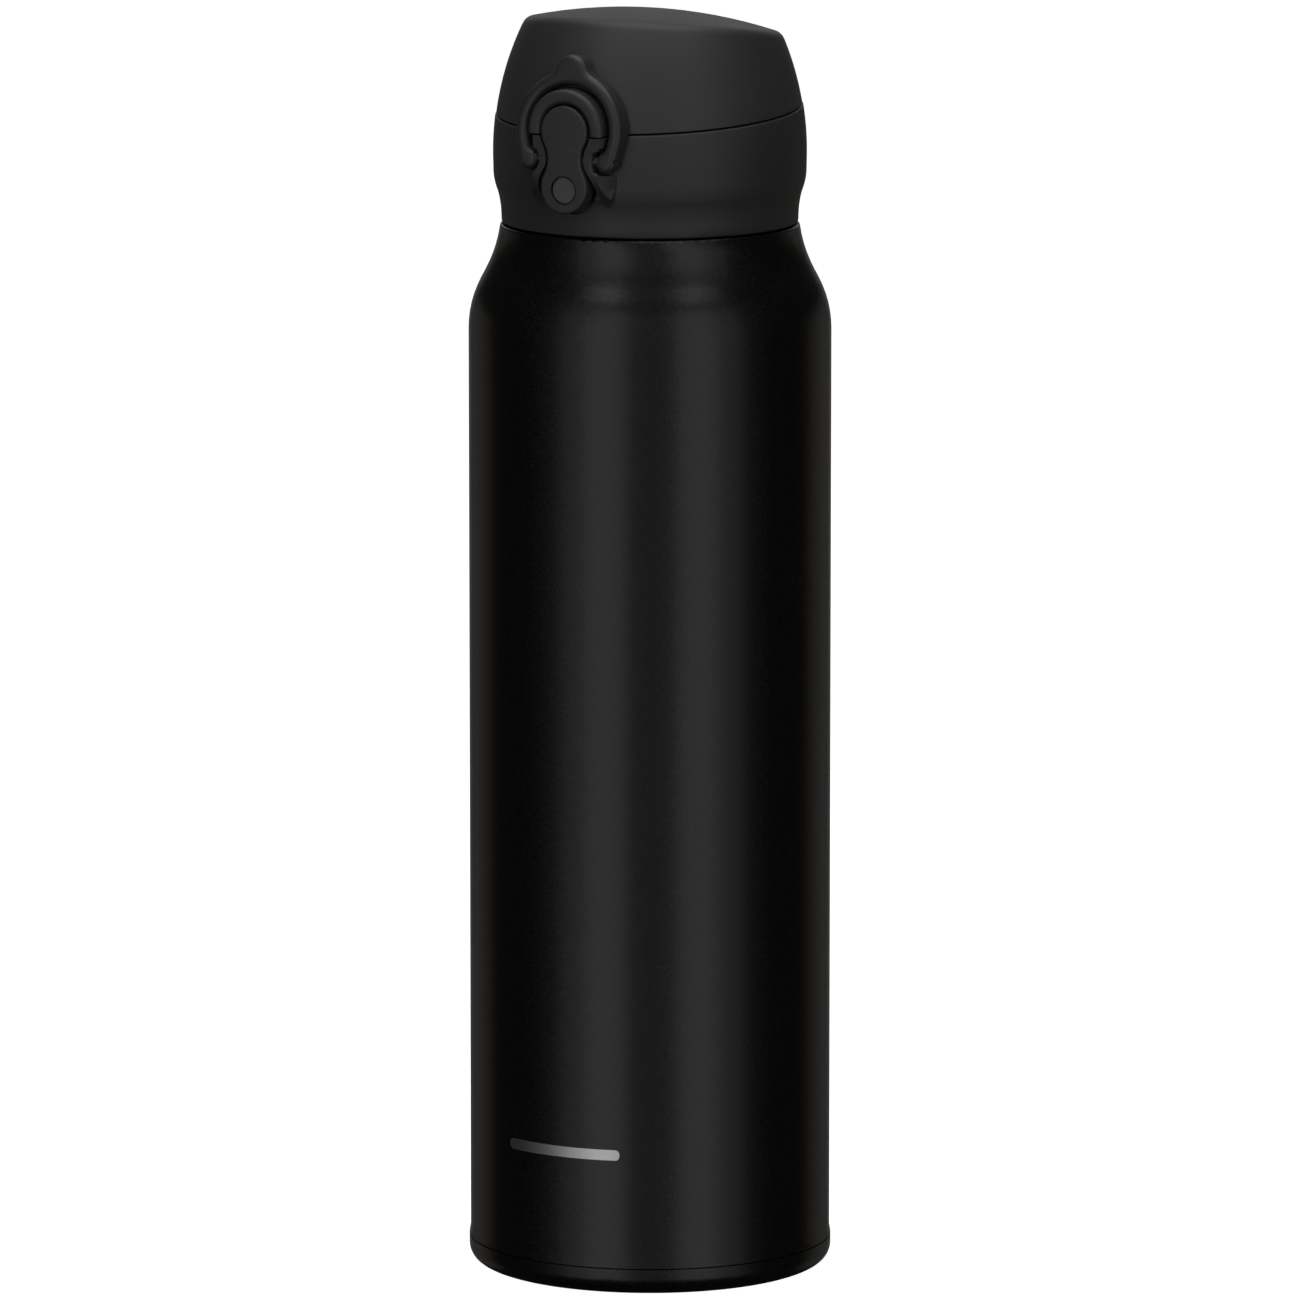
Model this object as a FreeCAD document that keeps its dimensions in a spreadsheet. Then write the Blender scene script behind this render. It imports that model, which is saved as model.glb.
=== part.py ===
import FreeCAD, Part
import math
import os
import Sketcher

# Vacuum flask with a one-touch flip lid. Millimetres, +Z up, front (button side) towards -Y,
# origin at the centre of the resting face.

os.makedirs("parts", exist_ok=True)
doc = FreeCAD.newDocument("vacuum_flask")
sheet = doc.addObject("Spreadsheet::Sheet", "sizes")
Vector = FreeCAD.Vector
X_AXIS = Vector(1, 0, 0)
Y_AXIS = Vector(0, 1, 0)
Z_AXIS = Vector(0, 0, 1)


class Size:
    """A length together with the spreadsheet expression that gives it."""

    def __init__(self, value, text):
        self.value = value
        self.text = text

    def joined(self, other, sign, value):
        return Size(value, "(%s %s %s)" % (self.text, sign, words(other)))

    def __add__(self, other):
        return self.joined(other, "+", self.value + number(other))

    def __sub__(self, other):
        return self.joined(other, "-", self.value - number(other))

    def __rsub__(self, other):
        return Size(number(other) - self.value, "(%s - %s)" % (words(other), self.text))

    def __mul__(self, other):
        return self.joined(other, "*", self.value * number(other))

    def __neg__(self):
        return Size(-self.value, "(0 - %s)" % self.text)


def number(item):
    return item.value if isinstance(item, Size) else float(item)


def words(item):
    return item.text if isinstance(item, Size) else "%.6f" % item


rows = iter(range(1, 200))


def size(name, value):
    cell = "A%d" % next(rows)
    sheet.set(cell, str(value))
    sheet.setAlias(cell, name)
    return Size(float(value), "sizes.%s" % name)


# Flask body
body_radius = size("body_radius", 36.5)
foot_radius = size("foot_radius", 36.77)
steel = size("steel_thickness", 0.6)
liner_steel = size("liner_steel_thickness", 0.5)
shell_start = size("shell_start_height", 5.65)
shoulder_start = size("shoulder_start_height", 191.2)
shoulder_round = size("shoulder_round_radius", 21.43)
shoulder_flat = size("shoulder_flat_length", 1.905)
shoulder_hollow = size("shoulder_hollow_radius", 27.77)
ledge_height = size("ledge_height", 212.45)
neck_radius = size("neck_radius", 25.4)
rim_height = size("rim_height", 226.5)
mouth_radius = size("mouth_radius", 21.5)
liner_radius = size("liner_radius", 34.1)
liner_bottom = size("liner_bottom_height", 12.1)

# Screw thread, two starts
thread_lead = size("thread_lead", 8.0)
thread_rise = size("thread_rise", 4.6)
thread_start = size("thread_start_height", 216.6)
thread_depth = size("thread_depth", 1.0)
insert_radius = size("insert_bore_radius", 26.8)

# Cap and lid
insert_outer = size("insert_outer_radius", 28.5)
collar_bore = size("collar_bore_radius", 28.85)
collar_bottom = size("collar_bottom_height", 212.85)
deck_height = size("deck_height", 229.1)
spout_top = size("spout_top_height", 245.5)
split_height = size("split_height", 235.75)
split_gap = size("split_gap", 0.42)
lid_wall = size("lid_wall_thickness", 2.0)
dome_radius = size("dome_radius", 100.0)
hinge_y = size("hinge_depth", 31.5)
hinge_z = size("hinge_height", 237.0)
hinge_pin_radius = size("hinge_pin_radius", 1.0)
knuckle_radius = size("knuckle_radius", 2.4)

# Front latch
lobe_radius = size("lobe_radius", 5.2)
upper_lobe = size("upper_lobe_height", 234.2)
lower_lobe = size("lower_lobe_height", 223.1)
button_front = size("button_front_depth", 34.4)
button_back = size("button_back_depth", 31.35)
pivot_y = size("pivot_depth", 32.6)
pivot_z = size("pivot_height", 228.5)
pivot_radius = size("pivot_pin_radius", 0.7)
pivot_reach = size("pivot_pin_reach", 10.4)
running_gap = size("running_gap", 0.06)
arch_radius = size("arch_radius", 8.4)
ring_inner = size("ring_inner_radius", 9.2)
ring_outer = size("ring_outer_radius", 12.0)
eye_x = size("ring_eye_reach", 8.75)
eye_radius = size("ring_eye_radius", 2.1)

# Tilt of the lid split and of the lock ring, degrees
SPLIT_TILT = 4.0
RING_LEAN = 6.0
SHOULDER_ANGLE = math.radians(28.0)
SHOULDER_END = math.radians(8.3)
doc.recompute()


def bind(item, **values):
    """Set number properties and tie each one to its spreadsheet expression."""
    for name, value in values.items():
        setattr(item, name, number(value))
        if isinstance(value, Size):
            item.setExpression(name, value.text)


def place(item, x=0.0, y=0.0, z=0.0, axis=Z_AXIS, angle=0.0):
    item.Placement = FreeCAD.Placement(
        Vector(number(x), number(y), number(z)), FreeCAD.Rotation(axis, angle))
    for name, value in (("x", x), ("y", y), ("z", z)):
        if isinstance(value, Size):
            item.setExpression("Placement.Base." + name, value.text)


def origin_plane(body, role):
    return [item for item in body.Origin.OriginFeatures if item.Role == role][0]


def arc_between(start, end, radius):
    """The shorter arc; a positive radius keeps the centre on the left of the way."""
    chord = end - start
    half = chord.Length / 2
    left = Vector(-chord.y, chord.x, 0).normalize()
    side = 1 if radius > 0 else -1
    rise = math.sqrt(max(radius * radius - half * half, 0.0))
    centre = (start + end) * 0.5 + left * rise * side
    circle = Part.Circle(centre, Z_AXIS, abs(radius))
    first, last = (start, end) if side > 0 else (end, start)
    angles = [math.atan2(spot.y - centre.y, spot.x - centre.x) for spot in (first, last)]
    return Part.ArcOfCircle(circle, angles[0], angles[1])


def draw(sketch, outline):
    """A closed outline of (across, up) corners; a third value rounds the way to it."""
    count = len(outline)
    spots = [Vector(number(corner[0]), number(corner[1]), 0) for corner in outline]
    base = sketch.GeometryCount
    heads = []
    for index in range(count):
        start = spots[index]
        corner = outline[(index + 1) % count]
        end = spots[(index + 1) % count]
        if len(corner) > 2:
            radius = number(corner[2])
            sketch.addGeometry(arc_between(start, end, radius), False)
            heads.append((1, 2) if radius > 0 else (2, 1))
        else:
            sketch.addGeometry(Part.LineSegment(start, end), False)
            heads.append((1, 2))
    for index in range(count):
        after = (index + 1) % count
        sketch.addConstraint(Sketcher.Constraint(
            "Coincident", base + index, heads[index][1], base + after, heads[after][0]))
    for index in range(count):
        edge = base + index
        head = heads[index][0]
        for kind, value in (("DistanceX", outline[index][0]), ("DistanceY", outline[index][1])):
            if number(value) == 0.0:
                other = -2 if kind == "DistanceX" else -1
                sketch.addConstraint(Sketcher.Constraint("PointOnObject", edge, head, other))
                continue
            made = sketch.addConstraint(
                Sketcher.Constraint(kind, -1, 1, edge, head, number(value)))
            if isinstance(value, Size):
                sketch.setExpression("Constraints[%d]" % made, value.text)
        corner = outline[(index + 1) % count]
        if len(corner) > 2:
            radius = corner[2]
            made = sketch.addConstraint(Sketcher.Constraint("Radius", edge, abs(number(radius))))
            if isinstance(radius, Size):
                text = radius.text if radius.value > 0 else (-radius).text
                sketch.setExpression("Constraints[%d]" % made, text)


def new_body(name, label=None):
    body = doc.addObject("PartDesign::Body", name)
    body.Label = label or name
    return body


def new_sketch(body, name, outlines, role="XZ_Plane", offset=0.0):
    sketch = body.newObject("Sketcher::SketchObject", name)
    sketch.AttachmentSupport = [(origin_plane(body, role), "")]
    sketch.MapMode = "FlatFace"
    if number(offset):
        sketch.AttachmentOffset = FreeCAD.Placement(
            Vector(0, 0, number(offset)), FreeCAD.Rotation())
        if isinstance(offset, Size):
            sketch.setExpression("AttachmentOffset.Base.z", offset.text)
    for outline in outlines:
        draw(sketch, outline)
    doc.recompute()
    return sketch


def turned(name, *outlines, angle=360.0):
    """A body turned about the flask's axis from (radius, height) outlines."""
    body = new_body(name)
    sketch = new_sketch(body, name + "_outline", outlines)
    turn = body.newObject("PartDesign::Revolution", name + "_turn")
    turn.Profile = sketch
    turn.ReferenceAxis = (sketch, ["V_Axis"])
    turn.Angle = angle
    doc.recompute()
    return body


def plate(name, outline, back, front, role="XZ_Plane"):
    """A slab between two distances from an origin plane: across the front, or from the side."""
    body = new_body(name)
    sketch = new_sketch(body, name + "_outline", [outline], role, back)
    pad = body.newObject("PartDesign::Pad", name + "_pad")
    pad.Profile = sketch
    bind(pad, Length=front - back)
    doc.recompute()
    return body


def threaded(body, name, outline):
    """Add a two-start ridge with this section to a turned body."""
    sketch = new_sketch(body, name + "_section", [outline])
    ridge = body.newObject("PartDesign::AdditiveHelix", name + "_ridge")
    ridge.Profile = sketch
    ridge.ReferenceAxis = (sketch, ["V_Axis"])
    ridge.Mode = 0
    bind(ridge, Pitch=thread_lead, Height=thread_rise)
    doc.recompute()
    starts = body.newObject("PartDesign::PolarPattern", name + "_starts")
    starts.Originals = [ridge]
    starts.Axis = (sketch, ["V_Axis"])
    starts.Angle = 360
    starts.Occurrences = 2
    body.Tip = starts
    doc.recompute()


def box(name, low, high):
    item = doc.addObject("Part::Box", name)
    bind(item, Length=high[0] - low[0], Width=high[1] - low[1], Height=high[2] - low[2])
    place(item, *low)
    return item


def rod(name, radius, low_x, high_x, y, z):
    """A cylinder along X."""
    item = doc.addObject("Part::Cylinder", name)
    bind(item, Radius=radius, Height=high_x - low_x)
    place(item, low_x, y, z, Y_AXIS, 90)
    return item


def fuse(name, *items):
    joint = doc.addObject("Part::MultiFuse", name)
    joint.Shapes = list(items)
    joint.Refine = True
    doc.recompute()
    return joint


def cut(name, base, *tools):
    tool = tools[0] if len(tools) == 1 else fuse(name + "_tools", *tools)
    joint = doc.addObject("Part::Cut", name)
    joint.Base = base
    joint.Tool = tool
    joint.Refine = True
    doc.recompute()
    return joint


def common(name, base, tool):
    joint = doc.addObject("Part::Common", name)
    joint.Base = base
    joint.Tool = tool
    doc.recompute()
    return joint


def rounded(name, base, radius, wanted):
    """Round the edges of base that wanted(edge) picks."""
    doc.recompute()
    picked = [index + 1 for index, edge in enumerate(base.Shape.Edges) if wanted(edge)]
    joint = doc.addObject("Part::Fillet", name)
    joint.Base = base
    joint.Edges = [(index, radius, radius) for index in picked]
    doc.recompute()
    return joint


# ---------------------------------------------------------------- flask body


def shoulder(inset):
    """Corners of the body wall from its lower end to the ledge, set in by inset."""
    cosine = math.cos(SHOULDER_ANGLE)
    sine = math.sin(SHOULDER_ANGLE)
    side = body_radius - inset
    bulge = shoulder_round - inset
    first = (body_radius - shoulder_round + bulge * cosine, shoulder_start + bulge * sine)
    second = (first[0] - shoulder_flat * sine, first[1] + shoulder_flat * cosine)
    dip = shoulder_hollow + inset
    centre = (second[0] + dip * cosine, second[1] + dip * sine)
    last = (centre[0] - dip * math.cos(SHOULDER_END), centre[1] - dip * math.sin(SHOULDER_END))
    return [
        (foot_radius - inset, shell_start),
        (side, shell_start + 1.55),
        (side, shoulder_start),
        first + (bulge,),
        second,
        last + (-dip,),
    ]


outside = shoulder(0.0)
inside = shoulder(steel)
neck_bore = neck_radius - steel
ledge_rim = outside[-1][0] - 0.5
shell_outline = outside + [
    (ledge_rim, ledge_height, 0.5),
    (neck_radius + 1.0, ledge_height),
    (neck_radius, ledge_height + 1.0, -1.0),
    (neck_radius, rim_height - 0.4),
    (neck_radius - 0.4, rim_height, 0.4),
    (neck_bore, rim_height),
    (neck_bore, ledge_height - steel),
    (inside[5][0] - 0.1, ledge_height - steel),
    (inside[5][0], inside[5][1] - 0.4),
    inside[4][:2] + (shoulder_hollow + steel,),
    inside[3][:2],
    inside[2][:2] + (-(shoulder_round - steel),),
    inside[1][:2],
    inside[0][:2],
]
shell_outline = shell_outline[1:] + shell_outline[:1]
outer_shell = turned("outer_shell", shell_outline)
threaded(outer_shell, "neck_thread", [
    (neck_radius - 0.3, thread_start - 0.9),
    (neck_radius + thread_depth, thread_start - 0.4),
    (neck_radius + thread_depth, thread_start + 0.4),
    (neck_radius - 0.3, thread_start + 0.9),
])

# The liner: dished bottom, straight wall, rounded shoulder, narrow neck flared to the rim
LINER_ANGLE = math.radians(55.0)
LINER_ROUND = 14.0
liner_turn = size("liner_shoulder_height", 190.0)
liner_neck = mouth_radius + liner_steel
liner_edge = 8.0


def liner(inset, bottom):
    cosine = math.cos(LINER_ANGLE)
    sine = math.sin(LINER_ANGLE)
    wall = liner_radius - inset
    bulge = LINER_ROUND - number(inset)
    knee = (wall - bulge * (1 - cosine), liner_turn + bulge * sine)
    neck = liner_neck - inset
    dip = (number(knee[0]) - number(neck)) / (1 - cosine)
    return [
        (wall - liner_edge, bottom),
        (wall, bottom + liner_edge, liner_edge),
        (wall, liner_turn),
        (knee[0], knee[1], bulge),
        (neck, knee[1] + dip * sine, -dip),
        (neck, rim_height - 4.5),
    ]


liner_outside = liner(0.0, liner_bottom)
liner_inside = liner(liner_steel, liner_bottom + liner_steel)
DISH_RISE = 0.9


def dished(corner):
    """Radius of the shallow dome that reaches this corner from the axis."""
    reach = number(corner[0])
    return (reach ** 2 + DISH_RISE ** 2) / (2 * DISH_RISE)


liner_outline = [
    (0.0, liner_bottom + DISH_RISE),
    liner_outside[0] + (-dished(liner_outside[0]),),
]
liner_outline += liner_outside[1:]
liner_outline += [
    (neck_bore - 0.05, rim_height - 1.2, -5.4),
    (neck_bore - 0.05, rim_height),
    (neck_bore - 0.75, rim_height),
]
back_way = list(reversed(liner_inside))
liner_outline.append(back_way[0][:2] + (5.4,))
for nearer, corner in zip(back_way, back_way[1:]):
    turn_radius = nearer[2] if len(nearer) > 2 else None
    if turn_radius is None:
        liner_outline.append(corner[:2])
    else:
        liner_outline.append(corner[:2] + (-turn_radius,))
liner_outline.append((0.0, liner_bottom + DISH_RISE + liner_steel, dished(liner_inside[0])))
inner_vessel = turned("inner_vessel", liner_outline)

foil_radius = liner_radius + 0.28
radiation_foil = turned("radiation_foil", [
    (foil_radius, 26.0),
    (foil_radius + 0.15, 26.0),
    (foil_radius + 0.15, 184.0),
    (foil_radius, 184.0),
], angle=355.0)

# Steel bottom of the vacuum jacket: an upturned pan with a dimple round the exhaust hole
pan_radius = body_radius - steel
pan_top = size("pan_top_height", 9.6)
vacuum_end_plate = turned("vacuum_end_plate", [
    (0.7, pan_top + 0.5),
    (0.7, pan_top - 0.1),
    (4.6, pan_top - 0.1),
    (6.4, pan_top - steel),
    (pan_radius - 1.6, pan_top - steel),
    (pan_radius - steel, pan_top - 1.6, -1.0),
    (pan_radius - steel, shell_start + 0.3),
    (pan_radius, shell_start + 0.3),
    (pan_radius, pan_top - 1.6),
    (pan_radius - 1.6, pan_top, 1.6),
    (6.8, pan_top),
    (5.0, pan_top + 0.5),
])

vacuum_seal_bead = doc.addObject("Part::Feature", "vacuum_seal_bead")
bead = Part.makeSphere(3.0)
bead = bead.common(Part.makeCylinder(4.0, 1.1, Vector(0, 0, -3.0)))
bead_top = Part.makeCylinder(bead.BoundBox.XMax, 0.35, Vector(0, 0, -1.9))
vacuum_seal_bead.Shape = bead.fuse(bead_top).removeSplitter()
place(vacuum_seal_bead, 0, 0, pan_top + 1.4)

getter_x = size("getter_offset", 19.0)
getter_capsule = doc.addObject("Part::Cylinder", "getter_capsule")
bind(getter_capsule, Radius=3.5, Height=1.2)
place(getter_capsule, getter_x, 0, pan_top + 0.15)

strap_top = box("strap_top", (getter_x - 4.4, -1.5, pan_top + 1.4), (getter_x + 4.4, 1.5, pan_top + 1.7))
strap_legs = []
for side in (-1, 1):
    inner = getter_x + side * 4.25
    outer = getter_x + side * 5.25
    strap_legs.append(box("strap_leg_%d" % (side + 1), (inner - 0.15, -1.5, pan_top + 0.05),
                          (inner + 0.15, 1.5, pan_top + 1.7)))
    strap_legs.append(box("strap_foot_%d" % (side + 1), (outer - 1.15, -1.5, pan_top + 0.05),
                          (outer + 1.15, 1.5, pan_top + 0.35)))
getter_clip = fuse("getter_clip", strap_top, *strap_legs)

# Moulded cover over the steel bottom, with a foot ring and a shallow recess
foot_ring = size("foot_ring_radius", 29.0)
cover_recess = size("cover_recess_depth", 1.3)
clip_radius = body_radius - 1.4
base_cover = turned("base_cover", [
    (0.0, cover_recess),
    (foot_ring - 0.6, cover_recess),
    (foot_ring, 0.0),
    (foot_radius - 3.5, 0.0),
    (foot_radius, 3.5, 3.5),
    (foot_radius, shell_start - 0.25),
    (clip_radius, shell_start - 0.25),
    (clip_radius, pan_top - 2.2),
    (clip_radius - 0.4, pan_top - 1.8),
    (clip_radius - 1.5, pan_top - 1.8),
    (clip_radius - 1.5, cover_recess + 2.6),
    (clip_radius - 2.9, cover_recess + 1.2, -1.4),
    (0.0, cover_recess + 1.2),
])

base_disc = turned("base_disc", [
    (0.0, cover_recess - 0.75),
    (25.6, cover_recess - 0.75),
    (26.0, cover_recess - 0.35, 0.4),
    (26.0, cover_recess - 0.05),
    (0.0, cover_recess - 0.05),
])

# ---------------------------------------------------------------- screw cap

# Silicone ring round the plug, with two sealing lips
seal_inner = size("seal_inner_radius", 18.35)
seal_outer = size("seal_outer_radius", 21.15)
seal_bottom = size("seal_bottom_height", 215.0)
stopper_gasket = turned("stopper_gasket", [
    (seal_inner, seal_bottom),
    (seal_outer - 0.9, seal_bottom),
    (seal_outer, seal_bottom + 0.7),
    (seal_outer, seal_bottom + 1.3),
    (seal_outer - 0.9, seal_bottom + 2.1),
    (seal_outer - 0.9, seal_bottom + 2.9),
    (seal_outer, seal_bottom + 3.7),
    (seal_outer, seal_bottom + 4.3),
    (seal_outer - 0.9, seal_bottom + 5.0),
    (seal_inner, seal_bottom + 5.0),
])

spout = turned("spout", [
    (16.4, seal_bottom - 1.8),
    (20.3, seal_bottom - 1.8),
    (20.6, seal_bottom - 1.5, 0.3),
    (20.6, seal_bottom - 0.3),
    (seal_inner - 0.35, seal_bottom - 0.3),
    (seal_inner - 0.35, seal_bottom + 5.3),
    (20.9, seal_bottom + 5.3),
    (20.9, rim_height + 0.5),
    (24.4, rim_height + 0.5),
    (24.4, deck_height - 0.1),
    (17.2, deck_height - 0.1),
    (16.6, spout_top - 1.6),
    (15.0, spout_top, 1.6),
    (14.4, spout_top),
    (13.6, spout_top - 0.8, 0.8),
    (10.5, spout_top - 5.0),
    (10.5, spout_top - 7.0),
    (11.2, spout_top - 7.6),
    (15.2, rim_height + 2.0),
    (16.4, rim_height - 1.0),
])

thread_insert = turned("thread_insert", [
    (insert_radius, collar_bottom + 0.2),
    (insert_outer, collar_bottom + 0.2),
    (insert_outer, deck_height + 1.9),
    (18.3, deck_height + 1.9),
    (17.55, deck_height + 1.2, 0.75),
    (17.55, deck_height),
    (insert_radius, deck_height),
])
female_start = thread_start - 1.9
threaded(thread_insert, "insert_thread", [
    (insert_radius + 0.4, female_start - 0.9),
    (insert_radius + 0.4, female_start + 0.9),
    (insert_radius - 0.95, female_start + 0.4),
    (insert_radius - 0.95, female_start - 0.4),
])

# Keyhole outline of the push button; its waist is tangent to both lobes
WAIST_HALF = 3.74
half_span = (upper_lobe.value - lower_lobe.value) / 2
waist_hollow = (WAIST_HALF ** 2 + half_span ** 2 - lobe_radius.value ** 2) / (
    2 * (lobe_radius.value - WAIST_HALF))
to_waist = lobe_radius.value + waist_hollow
lean_x = (WAIST_HALF + waist_hollow) / to_waist
lean_z = half_span / to_waist


def keyhole(gap):
    round_lobe = lobe_radius + gap
    side = round_lobe * lean_x
    drop = round_lobe * lean_z
    hollow = -(waist_hollow - gap)
    low = lower_lobe + drop
    high = upper_lobe - drop
    return [
        (side, low, round_lobe),
        (side, high, hollow),
        (round_lobe, upper_lobe, round_lobe),
        (0.0, upper_lobe + round_lobe, round_lobe),
        (-round_lobe, upper_lobe, round_lobe),
        (-side, high, round_lobe),
        (-side, low, hollow),
        (-round_lobe, lower_lobe, round_lobe),
        (0.0, lower_lobe - round_lobe, round_lobe),
        (round_lobe, lower_lobe, round_lobe),
    ]


SPLIT_SPAN = 90.0


def half_space(name, shift, up):
    """A large block with one face on the lid's tilted split plane."""
    item = doc.addObject("Part::Box", name)
    bind(item, Length=SPLIT_SPAN, Width=SPLIT_SPAN, Height=60.0)
    turn = FreeCAD.Rotation(X_AXIS, SPLIT_TILT)
    centre = Vector(0, 0, number(split_height + shift))
    corner = Vector(-SPLIT_SPAN / 2, -SPLIT_SPAN / 2, 0.0 if up else -60.0)
    item.Placement = FreeCAD.Placement(centre + turn.multVec(corner), turn)
    return item


collar_wall = turned("collar_wall", [
    (collar_bore, collar_bottom),
    (29.4, collar_bottom),
    (29.8, collar_bottom + 0.4, 0.4),
    (29.87, 215.0),
    (30.62, 219.3, -17.0),
    (31.42, 222.8, 12.0),
    (31.49, 226.0),
    (30.47, 238.0, 59.1),
    (collar_bore, 238.0),
])

def crossing(near, near_radius, far, far_radius):
    """Where two circles (across, up) cross, on the outer and upper side."""
    step_x = far[0] - near[0]
    step_z = far[1] - near[1]
    way = math.hypot(step_x, step_z)
    along = (near_radius ** 2 - far_radius ** 2 + way ** 2) / (2 * way)
    aside = math.sqrt(near_radius ** 2 - along ** 2)
    return (near[0] + (along * step_x - aside * step_z) / way,
            near[1] + (along * step_z + aside * step_x) / way)


def between(start, end, share):
    """The point a share of the way from start to end."""
    return (start[0] + (end[0] - start[0]) * share, start[1] + (end[1] - start[1]) * share)


arch_middle = (0.0, upper_lobe.value)

# Cheeks beside the button: round the arch's foot, hollowed for the lock ring's eyes,
# with sloping flanks that fade out below
CHEEK_FRONT = 33.9
NOTCH = 2.65
CHEEK_EDGE = 0.5
CHEEK_CURVE = 8.6
notch_z = pivot_z.value - 0.2
eye_middle = (eye_x.value, notch_z)
notch_top = crossing(arch_middle, CHEEK_CURVE, eye_middle, NOTCH)
notch_side = eye_x.value - NOTCH
FLANK = 9.6
notch_low = notch_z - math.sqrt(NOTCH ** 2 - (FLANK - eye_x.value) ** 2)
cheek_front_view = plate("cheek_front_view", [
    (CHEEK_CURVE, 238.0),
    (-CHEEK_CURVE, 238.0),
    (-CHEEK_CURVE, upper_lobe),
    (-notch_top[0], notch_top[1], CHEEK_CURVE),
    (-notch_side, notch_z, -NOTCH),
    (-FLANK, notch_low, -NOTCH),
    (-9.3, 221.8, 9.0),
    (-7.0, 217.6, 9.0),
    (7.0, 217.6),
    (9.3, 221.8, 9.0),
    (FLANK, notch_low, 9.0),
    (notch_side, notch_z, -NOTCH),
    (notch_top[0], notch_top[1], -NOTCH),
    (CHEEK_CURVE, upper_lobe, CHEEK_CURVE),
], 28.95, 36.0)
CHEEK_BULGE = 7.0
bulge_turn = math.radians(45.0)
bulge_y = -CHEEK_FRONT + CHEEK_BULGE * (1 - math.cos(bulge_turn))
bulge_z = 226.5 - CHEEK_BULGE * math.sin(bulge_turn)
cheek_foot = bulge_z - 217.0
cheek_side_view = plate("cheek_side_view", [
    (-28.95, 238.0),
    (-CHEEK_FRONT, 238.0),
    (-CHEEK_FRONT, 226.5),
    (bulge_y, bulge_z, CHEEK_BULGE),
    (bulge_y + cheek_foot * math.tan(bulge_turn), 217.0),
    (-28.95, 217.0),
], -12.0, 12.0, "YZ_Plane")
cheek_plan = plate("cheek_plan", [
    (-10.9, -28.2),
    (-7.1, -34.1),
    (7.1, -34.1),
    (10.9, -28.2),
], 210.0, 240.0, "XY_Plane")
lobe_room = plate("lobe_room", [
    (4.2, 227.6, 14.0),
    (-4.2, 227.6),
    (-6.1, 224.4, 14.0),
    (-6.7, 221.6, 8.0),
    (-6.3, 216.0),
    (6.3, 216.0),
    (6.7, 221.6),
    (6.1, 224.4, 8.0),
], 30.9, 40.0)
EYE_SWING = 2.35
INNER_SWING = 1.75
eye_rooms = []
for side in (-1, 1):
    eye_rooms.append(rod("inner_eye_room_%d" % (side + 1), INNER_SWING + 0.5, side * 7.2 - 0.85,
                         side * 7.2 + 0.85, -pivot_y, pivot_z))
    eye_rooms.append(rod("eye_room_%d" % (side + 1), EYE_SWING + 0.4, side * 9.8 - 2.3,
                         side * 9.8 + 2.3, -pivot_y, pivot_z))
cheek_mound = common("cheek_mound", common("cheek_profile", cheek_front_view, cheek_side_view),
                     cheek_plan)
cheeks_round = rounded("cheeks_round", cheek_mound, CHEEK_EDGE, lambda edge: (
    6.0 < abs(edge.CenterOfMass.x) < 9.5 and 225.7 < edge.CenterOfMass.z < 230.7
    and edge.BoundBox.YMax < -31.0 and edge.BoundBox.XLength > 0.05))
cheeks = cut("cheeks", cheeks_round, lobe_room, *eye_rooms)

button_pocket = plate("button_pocket", keyhole(0.55), 28.55, 40.0)

ears = [rod("hinge_ear_%d" % (side + 1), knuckle_radius, side * 8.5 - 2.3, side * 8.5 + 2.3,
            hinge_y, hinge_z) for side in (-1, 1)]
ear_roots = [plate("ear_root_%d" % (side + 1), [
    (27.6, 224.0),
    (31.3, 224.0),
    (hinge_y + knuckle_radius * 0.985, hinge_z - 0.4, 40.0),
    (hinge_y, hinge_z + 1.5),
    (27.6, hinge_z),
], side * 8.5 - 2.3, side * 8.5 + 2.3, "YZ_Plane") for side in (-1, 1)]
pin_hole = rod("hinge_pin_hole", hinge_pin_radius + 0.03, -12.0, 12.0, hinge_y, hinge_z)
knuckle_room = rod("knuckle_room", knuckle_radius + 0.4, -5.95, 5.95, hinge_y, hinge_z)
pivot_hole = rod("pivot_pin_hole", pivot_radius + 0.03, -8.4, 8.4, -pivot_y, pivot_z)
upper_block = half_space("above_split", -(split_gap * 0.5), True)
collar_scooped = cut("collar_scooped", collar_wall, *eye_rooms)
collar_blank = fuse("collar_blank", collar_scooped, cheeks)
collar_low = cut("collar_low", collar_blank, upper_block)
collar_soft = rounded("collar_soft", collar_low, 0.4, lambda edge: (
    edge.BoundBox.ZMin > 233.0 and edge.BoundBox.XLength > 20.0
    and edge.BoundBox.YMax > 29.5))
bore_tool = doc.addObject("Part::Cylinder", "bore_tool")
bind(bore_tool, Radius=collar_bore, Height=40.0)
place(bore_tool, 0, 0, collar_bottom - 5)
ear_blank = fuse("ear_blank", *(ears + ear_roots))
ear_clean = cut("ear_clean", ear_blank, bore_tool)
collar_eared = fuse("collar_eared", collar_soft, ear_clean)
collar_shell = cut("collar_shell", collar_eared, button_pocket, pin_hole, knuckle_room,
                   pivot_hole)

hinge_pin = rod("hinge_pin", hinge_pin_radius, -11.2, 11.2, hinge_y, hinge_z)
front_pin = rod("front_pin", pivot_radius, -pivot_reach, pivot_reach, -pivot_y, pivot_z)


def coil(name, wire, radius, pitch, height):
    """A round-wire coil along +Z, standing on the origin."""
    path = Part.Wire(Part.makeHelix(pitch, height, radius).Edges)
    section = Part.Wire(Part.makeCircle(wire, Vector(radius, 0, 0), Y_AXIS))
    item = doc.addObject("Part::Feature", name)
    item.Shape = path.makePipeShell([section], True, True)
    return item


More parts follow.
